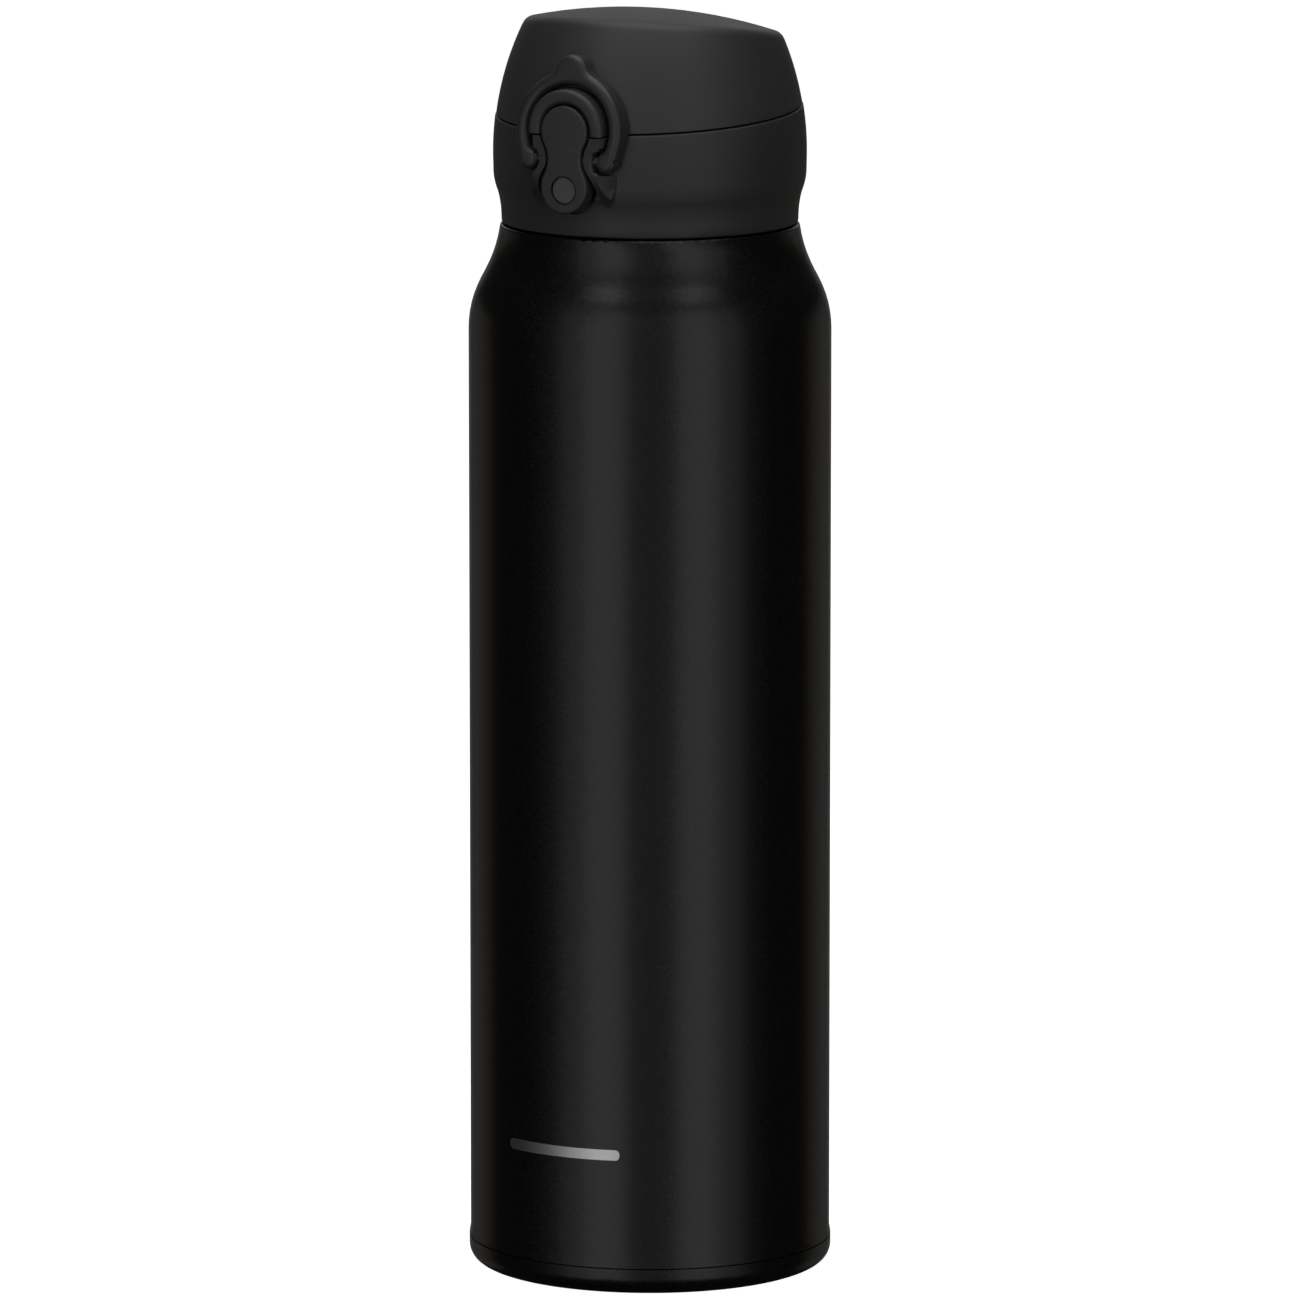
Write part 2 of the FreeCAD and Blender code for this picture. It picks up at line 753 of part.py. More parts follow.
lid_spring = coil("lid_spring", 0.3, 1.5, 0.8, 2.4)
place(lid_spring, -1.2, hinge_y, hinge_z, Y_AXIS, 90)
button_spring = coil("button_spring", 0.2, 1.4, 1.0, 2.0)
place(button_spring, 0, -28.85, lower_lobe, X_AXIS, 90)

# ---------------------------------------------------------------- flip lid

ARC = 59.1
ARC_CENTRE = -27.75
ARC_MIDDLE = 227.0


def lid_radius(height, inset=0.0):
    reach = ARC - inset
    return ARC_CENTRE + math.sqrt(reach ** 2 - (height - ARC_MIDDLE) ** 2)


lid_blank = turned("lid_blank", [
    (0.0, 232.0),
    (lid_radius(232.0), 232.0),
    (lid_radius(258.0), 258.0, ARC),
    (0.0, 258.0),
])
dome = doc.addObject("Part::Sphere", "dome")
bind(dome, Radius=dome_radius)
place(dome, 0, -10.67, 156.4)
lid_solid = common("lid_solid", lid_blank, dome)
lid_solid_round = rounded("lid_solid_round", lid_solid, 3.0, lambda edge: (
    edge.BoundBox.ZMin > 245.0 and edge.BoundBox.XLength > 20.0))

lid_core_blank = turned("lid_core_blank", [
    (0.0, 230.0),
    (lid_radius(230.0, number(lid_wall)), 230.0),
    (lid_radius(257.0, number(lid_wall)), 257.0, ARC - lid_wall.value),
    (0.0, 257.0),
])
dome_inside = doc.addObject("Part::Sphere", "dome_inside")
bind(dome_inside, Radius=dome_radius - lid_wall)
place(dome_inside, 0, -10.67, 156.4)
lid_core = common("lid_core", lid_core_blank, dome_inside)
lid_core_round = rounded("lid_core_round", lid_core, 2.0, lambda edge: (
    edge.BoundBox.ZMin > 243.0 and edge.BoundBox.XLength > 18.0))

catch_rib = box("catch_rib", (-5.5, -29.9, 232.0), (5.5, -27.3, 240.2))
lid_hollow = cut("lid_hollow", lid_core_round, catch_rib)
lid_wall_shape = cut("lid_wall_shape", lid_solid_round, lid_hollow)


def horseshoe(radius, foot):
    return [
        (radius, upper_lobe - foot),
        (radius, upper_lobe),
        (0.0, upper_lobe + radius, radius),
        (-radius, upper_lobe, radius),
        (-radius, upper_lobe - foot),
    ]


arch = plate("arch", horseshoe(arch_radius, 6.0), 28.2, 34.2)
arch_bore = plate("arch_bore", horseshoe(lobe_radius + 0.4, 9.0), 31.02, 40.0)
arch_bored = cut("arch_bored", arch, arch_bore)
arch_round = rounded("arch_round", arch_bored, 0.9, lambda edge: (
    edge.BoundBox.YLength < 0.01 and edge.BoundBox.YMin < -34.0
    and edge.BoundBox.ZMax > 228.3 and abs(edge.CenterOfMass.x) > 5.5
    or edge.BoundBox.YLength < 0.01 and edge.BoundBox.YMin < -34.0
    and edge.BoundBox.ZMax > upper_lobe.value + 7.0))
knuckles = []
for side in (-1, 1):
    knuckles.append(rod("lid_knuckle_%d" % (side + 1), knuckle_radius, side * 3.75 - 1.9,
                        side * 3.75 + 1.9, hinge_y, hinge_z))
    knuckles.append(plate("knuckle_root_%d" % (side + 1), [
        (29.05, hinge_z + 0.2),
        (hinge_y, hinge_z + 0.2),
        (hinge_y + knuckle_radius * 0.97, hinge_z + 0.55),
        (28.7, hinge_z + 6.4, -8.0),
        (28.4, hinge_z + 6.4),
        (28.4, hinge_z + 1.15),
    ], side * 3.75 - 1.9, side * 3.75 + 1.9, "YZ_Plane"))
knuckle_blank = fuse("knuckle_blank", *knuckles)
catch_pocket = box("catch_pocket", (-3.3, -31.6, 231.0), (3.3, -29.8, 239.0))
hook_window = box("hook_window", (-3.3, -31.6, 236.3), (3.3, -28.1, 238.7))
ear_room = [rod("ear_space_%d" % (side + 1), knuckle_radius + 0.4, side * 8.5 - 2.65,
                side * 8.5 + 2.65, hinge_y, hinge_z) for side in (-1, 1)]
lid_pin_hole = rod("lid_pin_hole", hinge_pin_radius + running_gap, -12.0, 12.0,
                   hinge_y, hinge_z)
spring_room = rod("spring_room", 2.3, -1.85, 1.85, hinge_y, hinge_z)
lower_block = half_space("below_split", split_gap * 0.5, False)
lid_fused = fuse("lid_fused", lid_wall_shape, arch_round)
lid_high = cut("lid_high", lid_fused, lower_block, catch_pocket, hook_window)
lid_hinged = fuse("lid_hinged", lid_high, knuckle_blank)
lid_shell = cut("lid_shell", lid_hinged, lid_pin_hole, spring_room, *ear_room)

lid_inner = turned("lid_inner", [
    (0.0, 241.9),
    (5.8, 241.9),
    (5.8, spout_top + 0.5),
    (24.6, spout_top + 0.5),
    (24.6, spout_top + 1.7),
    (0.0, spout_top + 1.7),
])
lid_gasket = turned("lid_gasket", [
    (0.0, 238.7),
    (8.7, 238.7),
    (9.9, 239.6),
    (10.1, 241.2),
    (11.9, 243.4),
    (11.9, spout_top + 0.45),
    (5.9, spout_top + 0.45),
    (5.9, 241.8),
    (0.0, 241.8),
])

# ---------------------------------------------------------------- front latch

button_plate = plate("button_plate", keyhole(0.0), button_back, button_front)
dot_z = size("dot_height", 222.55)
dot_recess = doc.addObject("Part::Cylinder", "dot_recess")
bind(dot_recess, Radius=2.9, Height=2.0)
place(dot_recess, 0, -(button_front - 0.85), dot_z, X_AXIS, 90)
spring_seat = doc.addObject("Part::Cylinder", "spring_seat")
bind(spring_seat, Radius=2.1, Height=2.0)
place(spring_seat, 0, -(button_back - 1.4), lower_lobe, X_AXIS, 90)
button_bore = rod("button_bore", pivot_radius + running_gap, -8.0, 8.0, -pivot_y, pivot_z)
button_round = rounded("button_round", button_plate, 0.4, lambda edge: (
    edge.BoundBox.YLength < 0.01 and edge.BoundBox.YMin < -34.3))
latch_hook = box("latch_hook", (-2.8, -31.8, 236.5), (2.8, -28.6, 238.0))
button_hooked = fuse("button_hooked", button_round, latch_hook)
open_button = cut("open_button", button_hooked, dot_recess, spring_seat, button_bore)

button_dot = doc.addObject("Part::Cylinder", "button_dot")
bind(button_dot, Radius=2.5, Height=0.5)
place(button_dot, 0, -(button_front - 0.82), dot_z, X_AXIS, 90)

# Lock ring: a C round the arch, with a thumb tab on top and an eye at each end
TAB_ROUND = 3.6
TAB_BLEND = 4.0
tab_centre = 249.4 - TAB_ROUND
tab_rise = tab_centre - upper_lobe.value
blend_far = ring_outer.value + TAB_BLEND
blend_near = TAB_ROUND + TAB_BLEND
blend_z = (blend_far ** 2 - blend_near ** 2 + tab_rise ** 2) / (2 * tab_rise)
blend_x = math.sqrt(blend_far ** 2 - blend_z ** 2)
ring_foot = (blend_x * ring_outer.value / blend_far, blend_z * ring_outer.value / blend_far)
tab_foot = (blend_x * TAB_ROUND / blend_near, (blend_z - tab_rise) * TAB_ROUND / blend_near)
EYE_BLEND = 1.5
blend_middle = crossing(arch_middle, ring_inner.value - EYE_BLEND,
                        eye_middle, eye_radius.value + EYE_BLEND)
bow_end = between(arch_middle, blend_middle, ring_inner.value / (ring_inner.value - EYE_BLEND))
eye_top = between(eye_middle, blend_middle, eye_radius.value / (eye_radius.value + EYE_BLEND))
eye_fall = math.atan2(upper_lobe.value - notch_z, eye_x.value)
leave = math.acos((ring_outer.value - eye_radius.value)
                  / math.hypot(eye_x.value, upper_lobe.value - notch_z)) - eye_fall
outer_end = (ring_outer.value * math.cos(leave),
             upper_lobe.value + ring_outer.value * math.sin(leave))
eye_side = (eye_x.value + eye_radius.value * math.cos(leave),
            notch_z + eye_radius.value * math.sin(leave))

ring_outline = [
    (eye_x, notch_z - eye_radius.value, eye_radius),
    (eye_side[0], eye_side[1], eye_radius),
    (outer_end[0], outer_end[1]),
    (ring_foot[0], upper_lobe + ring_foot[1], ring_outer),
    (tab_foot[0], upper_lobe + (tab_rise + tab_foot[1]), -TAB_BLEND),
    (-tab_foot[0], upper_lobe + (tab_rise + tab_foot[1]), TAB_ROUND),
    (-ring_foot[0], upper_lobe + ring_foot[1], -TAB_BLEND),
    (-outer_end[0], outer_end[1], ring_outer),
    (-eye_side[0], eye_side[1]),
    (-eye_x, notch_z - eye_radius.value, eye_radius),
    (-(eye_x - eye_radius), notch_z, eye_radius),
    (-eye_top[0], eye_top[1], eye_radius),
    (-bow_end[0], bow_end[1], -EYE_BLEND),
    (0.0, upper_lobe + ring_inner, -ring_inner),
    (bow_end[0], bow_end[1], -ring_inner),
    (eye_top[0], eye_top[1], -EYE_BLEND),
    (eye_x - eye_radius, notch_z, eye_radius),
]
ring_front = size("ring_front_depth", 33.7)
ring_plate = plate("ring_plate", ring_outline, 26.5, ring_front)

ring_soft = rounded("ring_soft", ring_plate, 1.25, lambda edge: (
    edge.BoundBox.YMax < 0.01 - ring_front.value))
ring_lean = FreeCAD.Rotation(X_AXIS, -RING_LEAN)
ring_soft.Placement = FreeCAD.Placement(
    Vector(0, 0, 0), ring_lean, Vector(0, -pivot_y.value, pivot_z.value))

# The back of the ring follows the lid and collar; its eyes are round about the pin
RING_STANDOFF = 0.45
ring_bed = turned("ring_bed", [
    (0.0, 220.0),
    (lid_radius(220.0, -RING_STANDOFF), 220.0),
    (lid_radius(254.0, -RING_STANDOFF), 254.0, ARC + RING_STANDOFF),
    (0.0, 254.0),
])
swing_block = plate("swing_block", [
    (-pivot_y, 224.0),
    (-26.0, 224.0),
    (-26.0, 234.9),
    (-28.8, 234.9),
    (-30.4, 229.4, 12.0),
    (-pivot_y, 229.4),
], -15.0, 15.0, "YZ_Plane")
eye_round = rod("eye_round", EYE_SWING, -16.0, 16.0, -pivot_y, pivot_z)
eye_trim = cut("eye_trim", swing_block, eye_round)
inner_block = box("inner_block", (-7.65, -pivot_y, 224.0), (7.65, -26, 231.0))
inner_round = rod("inner_round", INNER_SWING, -12.0, 12.0, -pivot_y, pivot_z)
inner_trim = cut("inner_trim", inner_block, inner_round)
ring_bore = rod("ring_bore", pivot_radius + running_gap, -16.0, 16.0, -pivot_y, pivot_z)
hubs = [rod("eye_hub_%d" % (side + 1), 1.05, side * 6.95 - 0.45, side * 6.95 + 0.45,
            -pivot_y, pivot_z) for side in (-1, 1)]
ring_shaped = cut("ring_shaped", ring_soft, ring_bed, eye_trim, inner_trim)
ring_hubbed = fuse("ring_hubbed", ring_shaped, *hubs)
lock_ring = cut("lock_ring", ring_hubbed, ring_bore)

doc.recompute()

NODES = [
    outer_shell, inner_vessel, radiation_foil, vacuum_end_plate, vacuum_seal_bead,
    getter_capsule, getter_clip, base_cover, base_disc, stopper_gasket, collar_shell,
    thread_insert, spout, hinge_pin, lid_spring, front_pin, button_spring, lid_shell,
    lid_inner, lid_gasket, open_button, button_dot, lock_ring,
]

faults = []
for item in doc.Objects:
    if any(word in item.State for word in ("Invalid", "Error")):
        faults.append("%s: %s" % (item.Name, item.State))
for node in NODES:
    shape = node.Shape
    if shape.isNull() or not shape.isValid() or not shape.Solids:
        faults.append("%s: bad shape" % node.Name)
    limits = shape.BoundBox
    print("%-18s %d solid %9.2f mm3  x %.2f %.2f  y %.2f %.2f  z %.2f %.2f" % (
        node.Name, len(shape.Solids), shape.Volume, limits.XMin, limits.XMax,
        limits.YMin, limits.YMax, limits.ZMin, limits.ZMax))
if faults:
    raise RuntimeError("; ".join(faults))
for node in NODES:
    node.Label = node.Name
    node.Shape.exportStep("parts/%s.step" % node.Name)
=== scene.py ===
"""A vacuum flask with a flip lid: finishes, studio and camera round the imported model."""
import math

import bpy
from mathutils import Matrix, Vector

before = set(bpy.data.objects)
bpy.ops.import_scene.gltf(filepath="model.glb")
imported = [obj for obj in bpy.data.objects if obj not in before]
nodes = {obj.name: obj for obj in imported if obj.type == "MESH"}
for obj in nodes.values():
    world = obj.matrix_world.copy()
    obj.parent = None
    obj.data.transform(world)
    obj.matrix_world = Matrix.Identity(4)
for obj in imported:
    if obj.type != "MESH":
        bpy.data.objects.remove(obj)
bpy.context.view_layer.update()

scene = bpy.context.scene

# ---------------------------------------------------------------- camera

CAMERA_TURN = 30.0  # degrees round from the front of the flask, towards +X
CAMERA_RISE = 9.43
CAMERA_DISTANCE = 2.2597
AIM_HEIGHT = 0.12541
LENS = 309.7


def bearing(turn):
    """Level direction at a turn in degrees from the front of the flask."""
    angle = math.radians(turn)
    return Vector((math.sin(angle), -math.cos(angle), 0.0))


camera = bpy.data.objects.new("camera", bpy.data.cameras.new("camera"))
scene.collection.objects.link(camera)
rise = math.radians(CAMERA_RISE)
away = bearing(CAMERA_TURN) * math.cos(rise) + Vector((0, 0, math.sin(rise)))
camera.location = Vector((0, 0, AIM_HEIGHT)) + away * CAMERA_DISTANCE
camera.rotation_euler = (-away).to_track_quat("-Z", "Y").to_euler()
camera.data.lens = LENS
camera.data.sensor_width = 36.0
camera.data.clip_start = 0.05
camera.data.clip_end = 30.0
scene.camera = camera

scene.view_settings.view_transform = "Standard"
scene.view_settings.look = "None"

# ---------------------------------------------------------------- node helper


class Finish:
    """A node material, with short calls for the nodes it is made of."""

    def __init__(self, name):
        self.material = bpy.data.materials.new(name)
        self.material.use_nodes = True
        self.tree = self.material.node_tree
        self.tree.nodes.clear()
        self.shader = self.add("ShaderNodeBsdfPrincipled")
        output = self.add("ShaderNodeOutputMaterial")
        self.tree.links.new(self.shader.outputs[0], output.inputs[0])
        self.place = self.add("ShaderNodeTexCoord").outputs["Object"]

    def add(self, kind, **settings):
        node = self.tree.nodes.new(kind)
        for key, value in settings.items():
            setattr(node, key, value)
        return node

    def feed(self, socket, value):
        if isinstance(value, bpy.types.NodeSocket):
            self.tree.links.new(value, socket)
        else:
            socket.default_value = value

    def set(self, **values):
        """Set or link shader inputs; underscores stand for spaces."""
        for key, value in values.items():
            self.feed(self.shader.inputs[key.replace("_", " ")], value)

    def math(self, kind, first, second=0.0, third=0.0, clamp=False):
        node = self.add("ShaderNodeMath", operation=kind, use_clamp=clamp)
        for socket, value in zip(node.inputs, (first, second, third)):
            self.feed(socket, value)
        return node.outputs[0]

    def vector(self, kind, first, second=None, scale=None):
        node = self.add("ShaderNodeVectorMath", operation=kind)
        self.feed(node.inputs[0], first)
        if second is not None:
            self.feed(node.inputs[1], second)
        if scale is not None:
            self.feed(node.inputs["Scale"], scale)
        return node.outputs[0]

    def stretched(self, scale):
        return self.vector("MULTIPLY", self.place, scale)

    def noise(self, scale, detail=2.0, roughness=0.5, place=None, seed=0.0):
        node = self.add("ShaderNodeTexNoise", noise_dimensions="4D")
        self.feed(node.inputs["Vector"], place or self.place)
        self.feed(node.inputs["Scale"], scale)
        self.feed(node.inputs["Detail"], detail)
        self.feed(node.inputs["Roughness"], roughness)
        self.feed(node.inputs["W"], seed)
        return node.outputs["Fac"]

    def cells(self, scale):
        """A random colour for each small cell."""
        node = self.add("ShaderNodeTexVoronoi", feature="F1")
        self.feed(node.inputs["Vector"], self.place)
        self.feed(node.inputs["Scale"], scale)
        return node.outputs["Color"]

    def span(self, value, low, high, to_low=0.0, to_high=1.0, smooth=False):
        node = self.add("ShaderNodeMapRange",
                        interpolation_type="SMOOTHSTEP" if smooth else "LINEAR")
        for socket, number in zip(node.inputs, (value, low, high, to_low, to_high)):
            self.feed(socket, number)
        return node.outputs["Result"]

    def mix(self, share, first, second):
        node = self.add("ShaderNodeMix", data_type="RGBA")
        self.feed(node.inputs[0], share)
        for socket, value in ((node.inputs[6], first), (node.inputs[7], second)):
            if isinstance(value, tuple):
                value = (*value, 1.0)
            self.feed(socket, value)
        return node.outputs[2]

    def bump(self, height, strength, distance, under=None):
        node = self.add("ShaderNodeBump")
        self.feed(node.inputs["Height"], height)
        self.feed(node.inputs["Strength"], strength)
        self.feed(node.inputs["Distance"], distance)
        if under is not None:
            self.feed(node.inputs["Normal"], under)
        return node.outputs["Normal"]

    def axes(self):
        node = self.add("ShaderNodeSeparateXYZ")
        self.feed(node.inputs[0], self.place)
        return node.outputs


def shade(share, colour):
    return tuple(channel * share for channel in colour)


# ---------------------------------------------------------------- finishes


NECK_START = 0.21275  # the coating stops here, under the collar
BAR_HEIGHT = 0.0287
BAR_HALF_LENGTH = 0.0118  # of the straight part; the ends are round
BAR_HALF_DEPTH = 0.0002
BAR_ROUND = 0.00090
BAR_BLUR = 0.00006


def flake_paint(name, dark, flake, mark=False):
    """Satin black coating with fine metal flakes; mark adds a plain silver bar and a bare neck."""
    f = Finish(name)
    random = f.cells(6000.0)
    parts = f.add("ShaderNodeSeparateColor")
    f.feed(parts.inputs[0], random)
    shine = f.span(parts.outputs[0], 0.62, 0.96)
    body = f.mix(f.noise(45.0, 3.0), shade(0.86, dark), shade(1.14, dark))
    colour = f.mix(shine, body, flake)
    tilt = f.vector("SUBTRACT", random, (0.5, 0.5, 0.5))
    spread = f.span(shine, 0.0, 1.0, 0.03, 0.09)
    facing = f.add("ShaderNodeNewGeometry").outputs["Normal"]
    normal = f.vector("NORMALIZE", f.vector("ADD", facing, f.vector("SCALE", tilt, scale=spread)))
    normal = f.bump(f.noise(1400.0, 1.0), 0.06, 0.00003, normal)
    metal = f.math("MULTIPLY", shine, 0.85)
    rough = f.span(f.noise(160.0, 2.0), 0.3, 0.7, 0.255, 0.270)
    if mark:
        x, y, z = f.axes()
        above = f.math("ABSOLUTE", f.math("SUBTRACT", z, BAR_HEIGHT))
        beside = f.math("ABSOLUTE", x)
        across = f.math("MAXIMUM", f.math("SUBTRACT", beside, BAR_HALF_LENGTH), 0.0)
        up = f.math("MAXIMUM", f.math("SUBTRACT", above, BAR_HALF_DEPTH), 0.0)
        squares = f.math("ADD", f.math("POWER", across, 2.0), f.math("POWER", up, 2.0))
        inside = f.span(f.math("SQRT", squares), BAR_ROUND, BAR_ROUND - BAR_BLUR)
        print_mask = f.math("MULTIPLY", inside, f.math("LESS_THAN", y, 0.0))
        grain = f.mix(f.noise(2600.0, 2.0), (0.50, 0.50, 0.51), (0.68, 0.68, 0.69))
        colour = f.mix(print_mask, colour, grain)
        metal = f.math("MAXIMUM", metal, print_mask)
        rough = f.math("ADD", f.math("MULTIPLY", rough, f.math("SUBTRACT", 1.0, print_mask)),
                       f.math("MULTIPLY", print_mask, 0.34))
        neck = f.math("GREATER_THAN", z, NECK_START)
        lines = f.noise(90.0, 3.0, place=f.stretched((1.0, 1.0, 60.0)))
        colour = f.mix(neck, colour, f.mix(lines, (0.46, 0.46, 0.45), (0.56, 0.55, 0.54)))
        metal = f.math("MAXIMUM", metal, neck)
    f.set(Base_Color=colour, Metallic=metal, Roughness=rough, Normal=normal)
    return f.material


def plastic(name, tone, rough, grain=0.18, size=2600.0):
    """Moulded plastic with a fine eroded grain, slow mottling and a few scuffs."""
    f = Finish(name)
    mottle = f.noise(60.0, 3.0)
    dust = f.span(f.noise(1500.0, 2.0, seed=3.0), 0.62, 0.78)
    colour = f.mix(mottle, shade(0.90, tone), shade(1.10, tone))
    colour = f.mix(f.math("MULTIPLY", dust, 0.25), colour, shade(1.8, tone))
    fine = f.noise(size, 3.0, 0.6)
    scuff = f.noise(24.0, 5.0, 0.65, place=f.stretched((1.0, 1.0, 6.0)), seed=7.0)
    f.set(Base_Color=colour,
          Roughness=f.math("ADD", f.span(mottle, 0.3, 0.7, rough - 0.03, rough + 0.03),
                           f.span(scuff, 0.62, 0.75, 0.0, -0.05)),
          Normal=f.bump(fine, grain, 0.00006))
    return f.material


def steel(name, tone, rough, stretch=(1.0, 1.0, 60.0), scale=90.0, strength=0.06):
    """Bare stainless steel with fine lines from turning or drawing."""
    f = Finish(name)
    lines = f.noise(scale, 4.0, 0.6, place=f.stretched(stretch))
    cloud = f.noise(35.0, 3.0, seed=2.0)
    f.set(Base_Color=f.mix(cloud, shade(0.88, tone), shade(1.04, tone)), Metallic=1.0,
          Roughness=f.math("ADD", f.span(lines, 0.3, 0.7, rough - 0.05, rough + 0.07),
                           f.span(cloud, 0.3, 0.7, -0.02, 0.03)),
          Normal=f.bump(lines, strength, 0.00004))
    return f.material


def rubber(name, tone, rough):
    """Rubber or silicone: smooth, a little cloudy, with light passing through its skin."""
    f = Finish(name)
    cloud = f.noise(220.0, 3.0)
    f.set(Base_Color=f.mix(cloud, shade(0.92, tone), shade(1.05, tone)),
          Roughness=f.span(f.noise(700.0, 3.0, seed=4.0), 0.3, 0.7, rough - 0.06, rough + 0.06),
          Subsurface_Weight=0.12, Subsurface_Radius=(1.0, 0.9, 0.8), Subsurface_Scale=0.0008,
          Normal=f.bump(f.noise(1800.0, 2.0), 0.08, 0.00005))
    return f.material


def foil(name):
    f = Finish(name)
    crease = f.add("ShaderNodeTexVoronoi", feature="F1")
    f.feed(crease.inputs["Vector"], f.place)
    f.feed(crease.inputs["Scale"], 220.0)
    f.set(Base_Color=f.mix(f.noise(90.0), (0.72, 0.73, 0.74), (0.86, 0.87, 0.88)), Metallic=1.0,
          Roughness=f.span(f.noise(400.0), 0.3, 0.7, 0.16, 0.30),
          Normal=f.bump(crease.outputs["Distance"], 0.35, 0.0004))
    return f.material


def glass_bead(name):
    f = Finish(name)
    f.set(Base_Color=f.mix(f.noise(900.0), (0.16, 0.18, 0.17), (0.24, 0.26, 0.25)),
          Roughness=f.span(f.noise(1500.0, seed=1.0), 0.3, 0.7, 0.10, 0.22),
          Normal=f.bump(f.noise(1200.0), 0.12, 0.00005))
    return f.material


LID_TONE = (0.037, 0.038, 0.038)
finishes = {
    "outer_shell": flake_paint("black_flake_coat", (0.0020, 0.0019, 0.0018),
                               (0.046, 0.0435, 0.041), mark=True),
    "inner_vessel": steel("liner_polish", (0.58, 0.57, 0.56), 0.22),
    "radiation_foil": foil("foil_crinkled"),
    "vacuum_end_plate": steel("steel_pressed", (0.50, 0.50, 0.50), 0.34, (1.0, 1.0, 1.0), 700.0),
    "vacuum_seal_bead": glass_bead("seal_glass_fired"),
    "getter_capsule": steel("getter_sintered", (0.20, 0.20, 0.21), 0.62, (1.0, 1.0, 1.0), 2600.0,
                            0.3),
    "getter_clip": steel("steel_strip", (0.52, 0.52, 0.52), 0.30, (1.0, 40.0, 1.0)),
    "base_cover": flake_paint("base_flake_plastic", (0.0020, 0.0019, 0.0018),
                              (0.046, 0.0435, 0.041)),
    "base_disc": rubber("base_pad_rubber", (0.030, 0.030, 0.031), 0.62),
    "stopper_gasket": rubber("seal_silicone", (0.30, 0.31, 0.32), 0.42),
    # painted shade: the collar is the lid's plastic darkened to 0.86, standing in for the shade
    # under its bulge
    "collar_shell": plastic("collar_grain_painted_shade", shade(0.86, LID_TONE), 0.52),
    "thread_insert": plastic("insert_plastic_plain", (0.030, 0.030, 0.031), 0.40, 0.10),
    "spout": plastic("spout_plastic_plain", (0.032, 0.032, 0.033), 0.34, 0.08),
    "hinge_pin": steel("hinge_pin_ground", (0.60, 0.59, 0.57), 0.18, (60.0, 1.0, 1.0)),
    "lid_spring": steel("lid_spring_wire", (0.55, 0.54, 0.52), 0.24, (1.0, 1.0, 1.0), 1800.0),
    "front_pin": steel("front_pin_ground", (0.66, 0.65, 0.63), 0.16, (60.0, 1.0, 1.0)),
    "button_spring": steel("button_spring_wire", (0.55, 0.54, 0.52), 0.24, (1.0, 1.0, 1.0),
                           1800.0),
    "lid_shell": plastic("lid_grain", LID_TONE, 0.50),
    "lid_inner": plastic("lid_inner_plain", (0.034, 0.034, 0.035), 0.36, 0.08),
    "lid_gasket": rubber("lid_silicone", (0.30, 0.31, 0.32), 0.42),
    "open_button": plastic("button_grain", shade(0.95, LID_TONE), 0.46, 0.12),
    "button_dot": plastic("dot_grain", (0.080, 0.081, 0.081), 0.48, 0.12),
    "lock_ring": plastic("ring_satin", shade(0.80, LID_TONE), 0.40, 0.10),
}


WELD_REACH = 2e-6
CRISP_ANGLE = 32.0


def smoothed(item):
    """Soft shading over the model's own facets, kept crisp at real edges."""
    for face in item.data.polygons:
        face.use_smooth = True
    weld = item.modifiers.new("weld", "WELD")
    weld.merge_threshold = WELD_REACH
    split = item.modifiers.new("edges", "EDGE_SPLIT")
    split.split_angle = math.radians(CRISP_ANGLE)
    split.use_edge_sharp = False


for name, item in nodes.items():
    item.data.materials.clear()
    item.data.materials.append(finishes[name])
    smoothed(item)

# ---------------------------------------------------------------- studio

FLOOR_REACH = 4.0
COVE = 1.6
WALL_TOP = 5.0
floor_profile = [(FLOOR_REACH * step / 8, 0.0) for step in range(1, 9)]
for step in range(1, 13):
    angle = math.radians(90.0 * step / 12)
    floor_profile.append((FLOOR_REACH + COVE * math.sin(angle), COVE * (1 - math.cos(angle))))
floor_profile.append((FLOOR_REACH + COVE, WALL_TOP))
SIDES = 96
points = [(0.0, 0.0, 0.0)]
for radius, height in floor_profile:
    for side in range(SIDES):
        turn = 2 * math.pi * side / SIDES
        points.append((radius * math.cos(turn), radius * math.sin(turn), height))
faces = [(0, 1 + side, 1 + (side + 1) % SIDES) for side in range(SIDES)]
for ring in range(len(floor_profile) - 1):
    start = 1 + ring * SIDES
    for side in range(SIDES):
        after = (side + 1) % SIDES
        faces.append((start + side, start + SIDES + side,
                      start + SIDES + after, start + after))
floor_mesh = bpy.data.meshes.new("studio_floor")
floor_mesh.from_pydata(points, [], faces)
for face in floor_mesh.polygons:
    face.use_smooth = True
floor = bpy.data.objects.new("studio_floor", floor_mesh)
scene.collection.objects.link(floor)
paper = Finish("studio_paper")
paper.set(Base_Color=paper.mix(paper.noise(3.0), (0.60, 0.60, 0.60), (0.62, 0.62, 0.62)),
          Roughness=0.9, Emission_Color=(1.0, 1.0, 1.0, 1.0), Emission_Strength=1.0)
floor_mesh.materials.append(paper.material)
floor.visible_glossy = False
floor.visible_shadow = False
floor.visible_diffuse = False

world = bpy.data.worlds.new("studio_air")
world.use_nodes = True
air = world.node_tree.nodes["Background"]
air.inputs["Color"].default_value = (1.0, 1.0, 1.0, 1.0)
air.inputs["Strength"].default_value = 0.01
scene.world = world


def softbox(name, width, height, glow, place, out, colour=(1.0, 1.0, 1.0)):
    """A rectangular area light at a place, facing back along out; glow is its radiance."""
    lamp = bpy.data.lights.new(name, "AREA")
    lamp.shape = "RECTANGLE"
    lamp.size = width
    lamp.size_y = height
    lamp.color = colour
    lamp.energy = glow * math.pi * width * height
    item = bpy.data.objects.new(name, lamp)
    scene.collection.objects.link(item)
    item.location = place
    item.rotation_euler = (-out).to_track_quat("-Z", "Y").to_euler()
    item.visible_camera = False


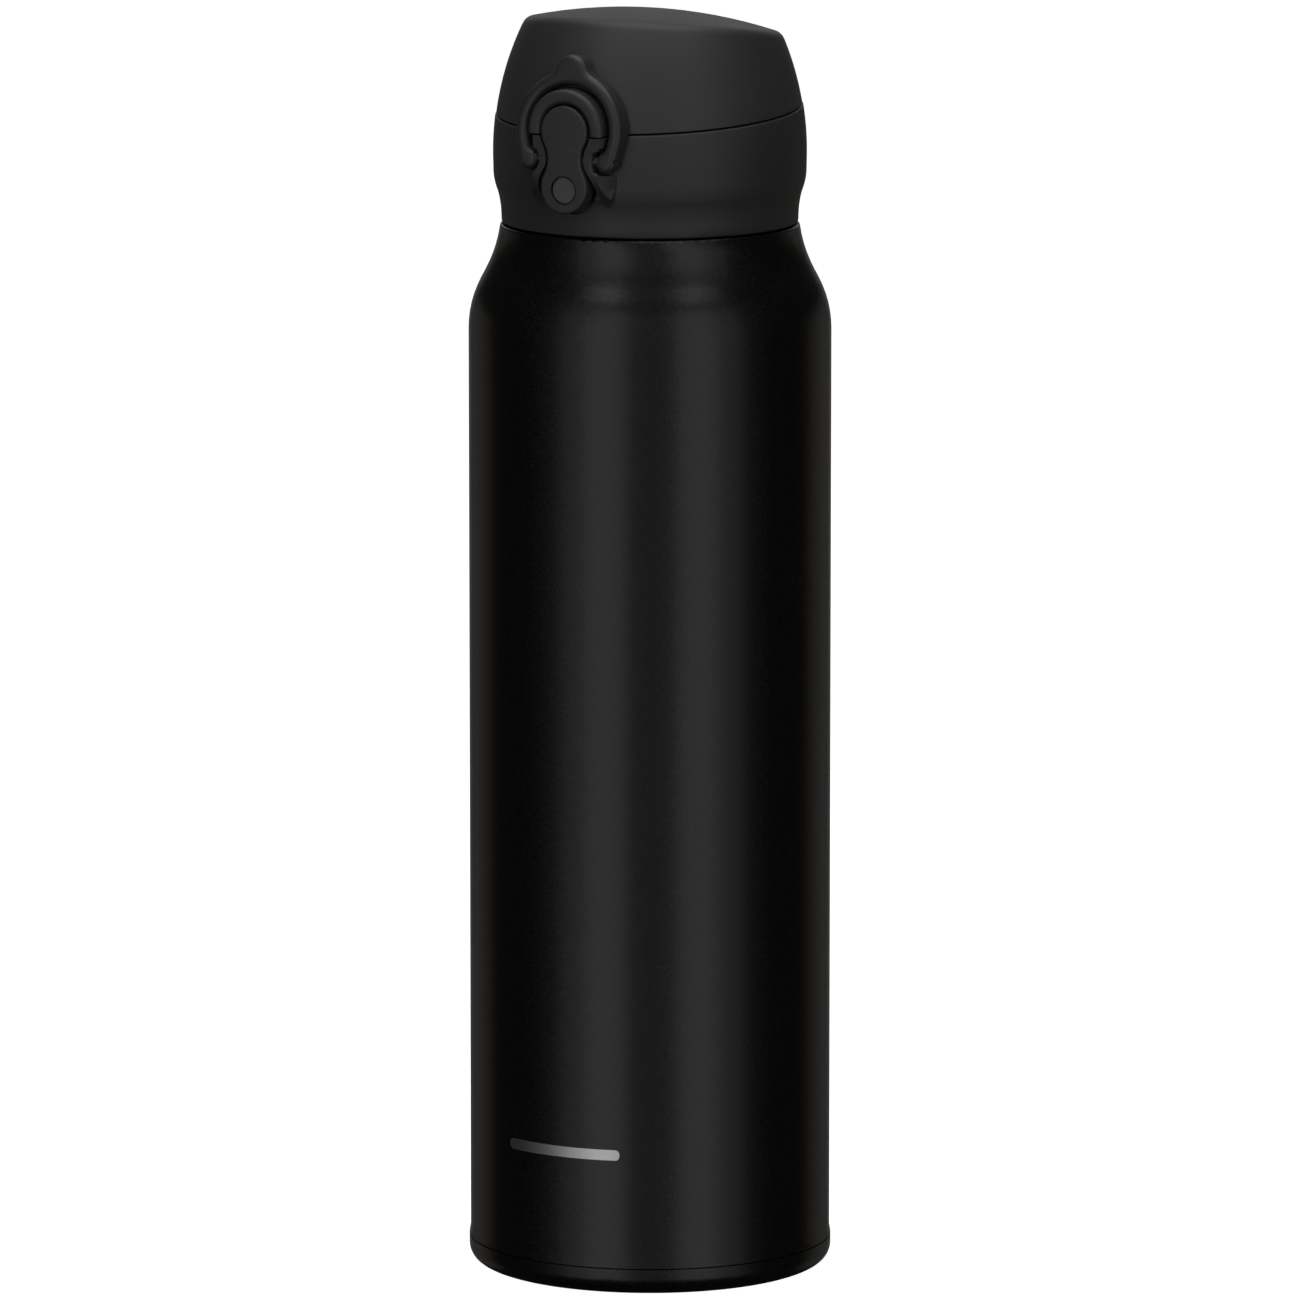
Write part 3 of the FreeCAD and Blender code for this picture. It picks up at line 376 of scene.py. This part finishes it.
PANEL_DISTANCE = 1.2


def panel(name, turns, heights, glow, **colour):
    """An upright softbox between two turns from the camera's side, facing the flask."""
    half_spread = math.radians(abs(turns[1] - turns[0]) / 2)
    width = 2 * PANEL_DISTANCE * math.tan(half_spread)
    out = bearing(CAMERA_TURN + (turns[0] + turns[1]) / 2)
    place = out * PANEL_DISTANCE + Vector((0, 0, (heights[0] + heights[1]) / 2))
    softbox(name, width, heights[1] - heights[0], glow, place, out, **colour)


BODY_SPAN = (-0.50, 1.00)
BACK_SPAN = (0.42, 1.30)
WARM = (1.0, 0.90, 0.81)
panel("soft_right_inner", (17, 43), BODY_SPAN, 0.74)
panel("soft_right_middle", (43, 60), BODY_SPAN, 0.34)
panel("soft_right_outer", (60, 74), BODY_SPAN, 0.04)
panel("soft_left_inner", (-15, -41), BODY_SPAN, 0.76)
panel("soft_left_middle", (-41, -58), BODY_SPAN, 0.36)
panel("soft_left_outer", (-58, -74), BODY_SPAN, 0.05)
panel("soft_front", (-15, 17), BODY_SPAN, 0.17)
panel("rim_right", (120, 152), (-0.75, 0.25), 0.11, colour=WARM)
panel("rim_left", (-120, -152), (-0.75, 0.25), 0.11, colour=WARM)
panel("soft_back", (150, 210), BACK_SPAN, 0.38)
panel("back_right", (158, 174), BODY_SPAN, 0.15)
panel("back_left", (-158, -174), BODY_SPAN, 0.15)


LID_HEIGHT = 0.21


def ceiling(name, turn, climb, reach, width, depth, glow):
    """A softbox above the flask, at a turn from the camera's side and a climb, facing the lid."""
    up = math.radians(climb)
    out = bearing(CAMERA_TURN + turn) * math.cos(up) + Vector((0, 0, math.sin(up)))
    softbox(name, width, depth, glow, Vector((0, 0, LID_HEIGHT)) + out * reach, out)


ceiling("soft_top", 0, 75, 1.15, 1.4, 0.9, 0.70)
ceiling("strip_top", 0, 108, 1.2, 1.0, 0.40, 2.4)
ceiling("sky_right", 40, 62, 1.3, 0.50, 0.95, 1.30)
ceiling("sky_left", -38, 62, 1.3, 0.50, 0.95, 1.40)
